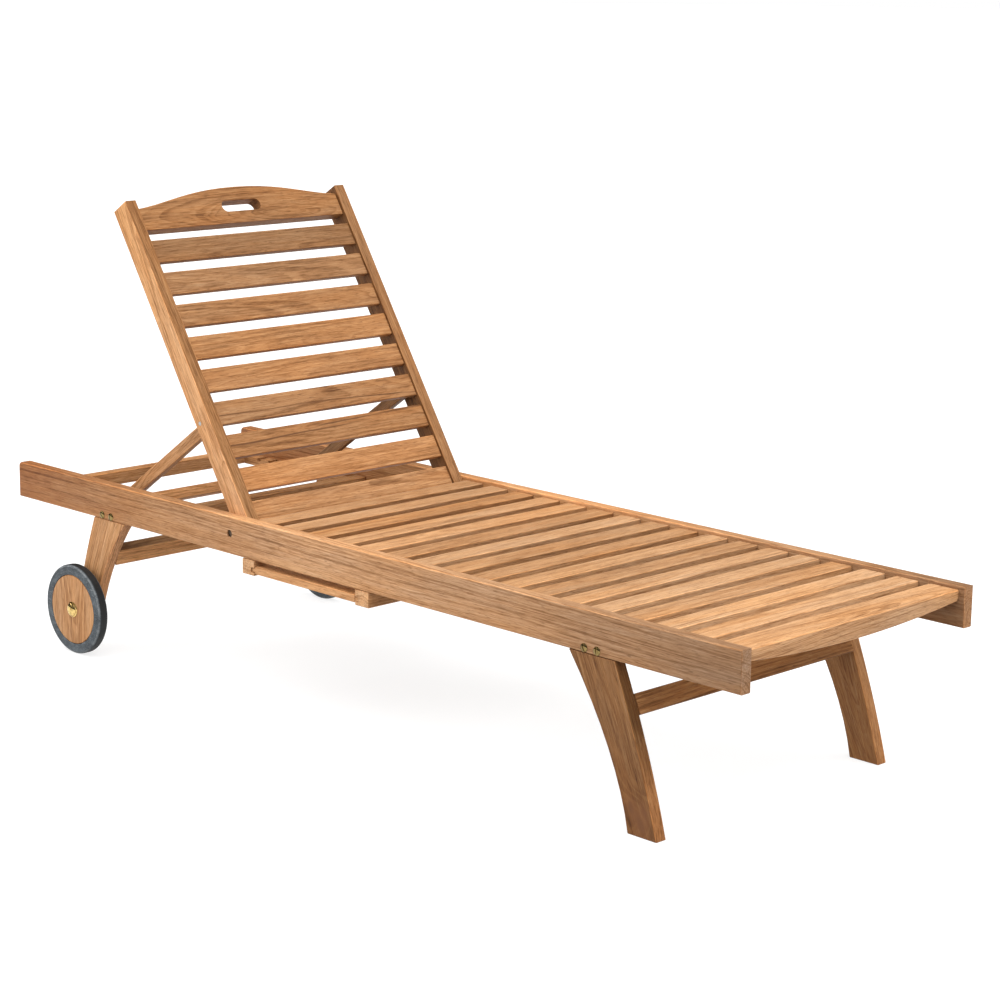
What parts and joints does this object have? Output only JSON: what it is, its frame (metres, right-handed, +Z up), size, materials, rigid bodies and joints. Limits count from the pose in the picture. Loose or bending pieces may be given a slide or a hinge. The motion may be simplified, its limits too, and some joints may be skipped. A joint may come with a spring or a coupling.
{
  "type": "sun lounger",
  "caption": "Slatted wooden sun lounger with a reclining backrest on a notched prop, a side tray that slides out, and a wheel on each side at the head end.",
  "frame": {"origin": "on the ground, in the middle of the lounger's length and width", "axes": "+X from the head end to the foot end, +Y to the side that the tray does not slide out of, +Z up"},
  "size_m": [2, 0.7166, 0.9578],
  "materials": {
    "rail_teak": "sanded and oiled, straight grain",
    "slat_teak": "sanded and oiled, straight grain",
    "frame_teak": "sanded and oiled, straight grain",
    "brass": "polished",
    "steel": "plain",
    "tyre": "matt grey"
  },
  "bodies": {
    "base": {"right_side_rail": "rail_teak", "left_side_rail": "rail_teak", "seat_slat_01": "slat_teak", "seat_slat_02": "slat_teak", "seat_slat_03": "slat_teak", "seat_slat_04": "slat_teak", "seat_slat_05": "slat_teak", "seat_slat_06": "slat_teak", "seat_slat_07": "slat_teak", "seat_slat_08": "slat_teak", "seat_slat_09": "slat_teak", "seat_slat_10": "slat_teak", "seat_slat_11": "slat_teak", "seat_slat_12": "slat_teak", "seat_slat_13": "slat_teak", "seat_slat_14": "slat_teak", "seat_slat_15": "slat_teak", "seat_slat_16": "slat_teak", "foot_board": "slat_teak", "head_cross_rail": "frame_teak", "mid_cross_rail": "frame_teak", "right_notched_rack": "frame_teak", "left_notched_rack": "frame_teak", "right_front_leg": "frame_teak", "left_front_leg": "frame_teak", "right_rear_leg": "frame_teak", "left_rear_leg": "frame_teak", "front_stretcher": "frame_teak", "rear_stretcher": "frame_teak", "right_front_leg_bolts": "brass", "left_front_leg_bolts": "brass", "right_rear_leg_bolts": "brass", "left_rear_leg_bolts": "brass", "head_tray_runner": "frame_teak", "foot_tray_runner": "frame_teak", "right_backrest_pivot_bolt": "steel", "left_backrest_pivot_bolt": "steel", "right_axle_bolt": "brass", "left_axle_bolt": "brass"},
    "backrest": {"right_back_stile": "rail_teak", "left_back_stile": "rail_teak", "back_slat_01": "slat_teak", "back_slat_02": "slat_teak", "back_slat_03": "slat_teak", "back_slat_04": "slat_teak", "back_slat_05": "slat_teak", "back_slat_06": "slat_teak", "back_slat_07": "slat_teak", "back_slat_08": "slat_teak", "back_slat_09": "slat_teak", "crest_rail": "slat_teak", "prop_pivot_rod": "steel"},
    "prop": {"right_prop_arm": "frame_teak", "left_prop_arm": "frame_teak", "prop_bar": "frame_teak"},
    "tray": {"side_tray": "slat_teak"},
    "right_wheel": {"right_wheel_disc": "frame_teak", "right_tyre": "tyre"},
    "left_wheel": {"left_wheel_disc": "frame_teak", "left_tyre": "tyre"}
  },
  "joints": [
    {"name": "backrest_recline", "type": "hinge", "parent": "base", "child": "backrest", "pos_m": [-0.289, 0, 0.3334], "axis": [0, 1, 0], "range_deg": [-57.26, 0]},
    {"name": "prop_fold", "type": "hinge", "parent": "backrest", "child": "prop", "pos_m": [-0.4113, 0, 0.52916], "axis": [0, 1, 0], "range_deg": [0, 89]},
    {"name": "tray_slide", "type": "slide", "parent": "base", "child": "tray", "axis": [0, -1, 0], "range_m": [0, 0.3]},
    {"name": "right_wheel_spin", "type": "hinge", "parent": "base", "child": "right_wheel", "pos_m": [-0.7665, -0.33825, 0.094], "axis": [0, 1, 0], "continuous": true},
    {"name": "left_wheel_spin", "type": "hinge", "parent": "base", "child": "left_wheel", "pos_m": [-0.7665, 0.33825, 0.094], "axis": [0, 1, 0], "continuous": true}
  ],
  "couplings": [
    {"joint": "prop_fold", "follows": "backrest_recline", "ratio": -1.5517}
  ]
}
